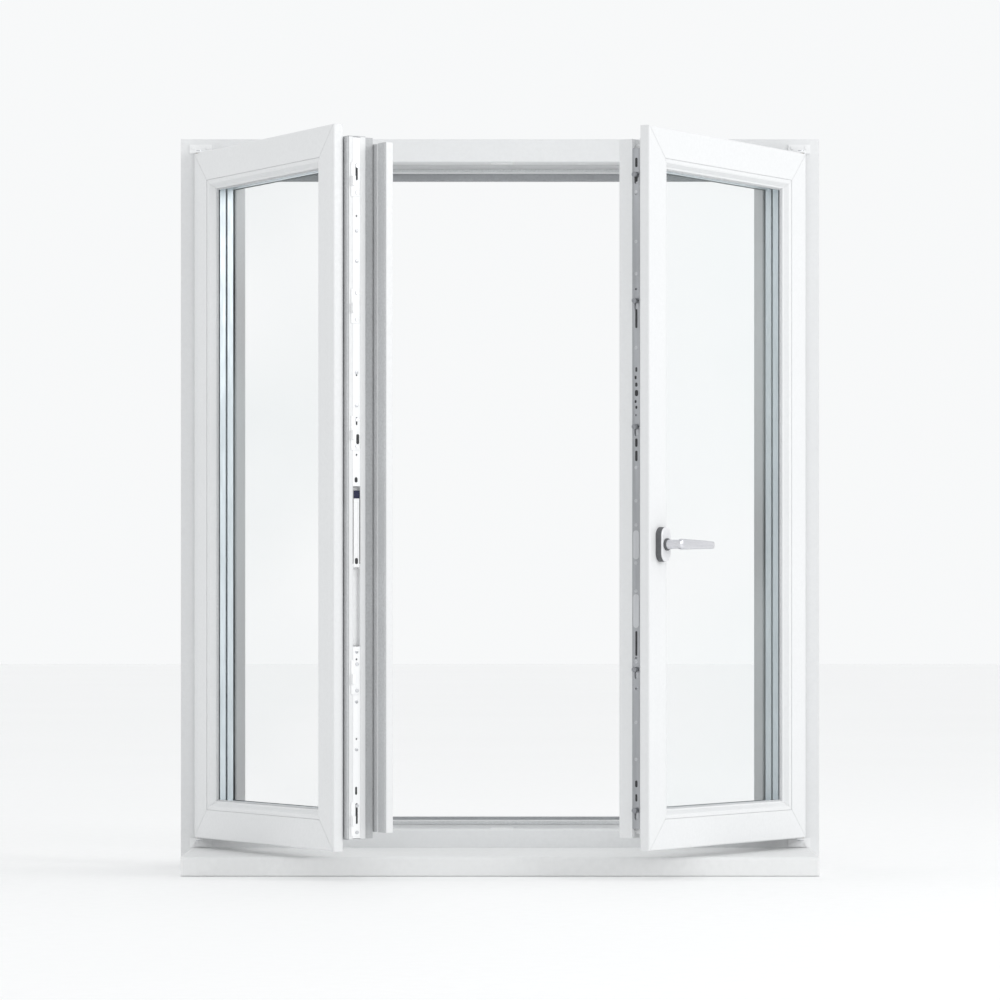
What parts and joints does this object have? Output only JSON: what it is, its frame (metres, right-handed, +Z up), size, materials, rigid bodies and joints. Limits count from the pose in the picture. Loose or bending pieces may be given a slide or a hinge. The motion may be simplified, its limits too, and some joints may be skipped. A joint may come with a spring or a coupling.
{
  "type": "casement window",
  "caption": "White two-leaf casement window opening inwards, with sealed glazing, a flying mullion with a flip lever, a locking lever handle and a window board.",
  "frame": {"origin": "middle of the underside of the base profile, at the middle of the frame's width and depth", "axes": "+X to the right seen from the room, +Y towards the outside, +Z up"},
  "size_m": [1.28, 0.64, 1.458],
  "materials": {
    "upvc_white": "smooth white window profile, satin gloss",
    "board_white": "white laminated window board",
    "cap_white": "moulded white cap",
    "cap_grey": "moulded light grey cap",
    "gasket_grey": "soft grey weather gasket",
    "trim_grey": "dark grey weather trim",
    "plated_steel": "zinc plated steel",
    "hinge_white": "white powder-coated steel",
    "bush_brass": "plain bush",
    "lock_grey": "grey die-cast lock part",
    "glass": "clear float glass with a pale green tint",
    "spacer_silver": "sealed unit spacer bar",
    "edge_seal": "black edge sealant",
    "packer_blue": "glazing packer",
    "lever_white": "white coated lever",
    "pad_navy": "dark blue grip pad",
    "rose_grey": "grey rose base",
    "handle_silver": "satin silver"
  },
  "bodies": {
    "frame": {"outer_frame": "upvc_white", "base_profile": "upvc_white", "frame_steel": "plated_steel", "frame_gasket": "gasket_grey", "weather_trim": "trim_grey", "drain_covers": "cap_white", "window_board": "board_white", "board_end_caps": "cap_white", "bolt_keeps": "hinge_white", "left_hinge_brackets": "hinge_white", "right_hinge_brackets": "hinge_white", "left_hinge_pins": "plated_steel", "right_hinge_pins": "plated_steel", "bracket_screws": "hinge_white"},
    "left_leaf": {"left_sash": "upvc_white", "left_sash_steel": "plated_steel", "left_beads": "upvc_white", "left_inner_pane": "glass", "left_middle_pane": "glass", "left_outer_pane": "glass", "left_spacers": "spacer_silver", "left_edge_seals": "edge_seal", "left_glass_gaskets": "gasket_grey", "left_lip_gasket": "gasket_grey", "left_glass_packers": "packer_blue", "left_pivot_bushes": "bush_brass", "flying_mullion": "upvc_white", "mullion_gaskets": "gasket_grey", "mullion_end_caps": "cap_grey", "mullion_rails": "plated_steel", "lever_tray": "hinge_white", "lever_pin": "plated_steel", "lock_keeps": "lock_grey", "keep_screws": "plated_steel"},
    "flip_lever": {"passive_lever": "lever_white", "lever_pad": "pad_navy"},
    "top_bolt": {"top_shoot_bolt": "plated_steel"},
    "bottom_bolt": {"bottom_shoot_bolt": "plated_steel"},
    "right_leaf": {"right_sash": "upvc_white", "right_sash_steel": "plated_steel", "right_beads": "upvc_white", "right_inner_pane": "glass", "right_middle_pane": "glass", "right_outer_pane": "glass", "right_spacers": "spacer_silver", "right_edge_seals": "edge_seal", "right_glass_gaskets": "gasket_grey", "right_lip_gasket": "gasket_grey", "right_glass_packers": "packer_blue", "right_pivot_bushes": "bush_brass", "lock_faceplate": "plated_steel", "lock_case": "lock_grey", "handle_rose": "rose_grey", "rose_cover": "handle_silver", "handle_screws": "plated_steel"},
    "handle": {"handle_grip": "handle_silver", "handle_spindle": "plated_steel", "drive_hub": "plated_steel"},
    "lock_rod": {"drive_rod": "plated_steel", "locking_cams": "lock_grey"}
  },
  "joints": [
    {"name": "left_leaf_swing", "type": "hinge", "parent": "frame", "child": "left_leaf", "pos_m": [-0.602, -0.059, 0.743], "axis": [0, 0, -1], "range_deg": [-60.5, 29.5]},
    {"name": "right_leaf_swing", "type": "hinge", "parent": "frame", "child": "right_leaf", "pos_m": [0.602, -0.059, 0.743], "axis": [0, 0, 1], "range_deg": [-57, 33]},
    {"name": "handle_turn", "type": "hinge", "parent": "right_leaf", "child": "handle", "pos_m": [0.3029, -0.53427, 0.637], "axis": [0.8387, -0.5446, 0], "range_deg": [-90, 0]},
    {"name": "lock_rod_slide", "type": "slide", "parent": "right_leaf", "child": "lock_rod", "axis": [0, 0, 1], "range_m": [-0.0141, 0]},
    {"name": "flip_lever_turn", "type": "hinge", "parent": "left_leaf", "child": "flip_lever", "pos_m": [-0.27141, -0.57225, 0.595], "axis": [0.8704, 0.4924, 0], "range_deg": [0, 180]},
    {"name": "top_bolt_slide", "type": "slide", "parent": "left_leaf", "child": "top_bolt", "axis": [0, 0, 1], "range_m": [0, 0.0141]},
    {"name": "bottom_bolt_slide", "type": "slide", "parent": "left_leaf", "child": "bottom_bolt", "axis": [0, 0, -1], "range_m": [0, 0.0141]}
  ],
  "couplings": [
    {"joint": "lock_rod_slide", "follows": "handle_turn", "m_per_rad": 0.0089127},
    {"joint": "top_bolt_slide", "follows": "flip_lever_turn", "m_per_rad": 0.0044563},
    {"joint": "bottom_bolt_slide", "follows": "flip_lever_turn", "m_per_rad": 0.0044563}
  ]
}
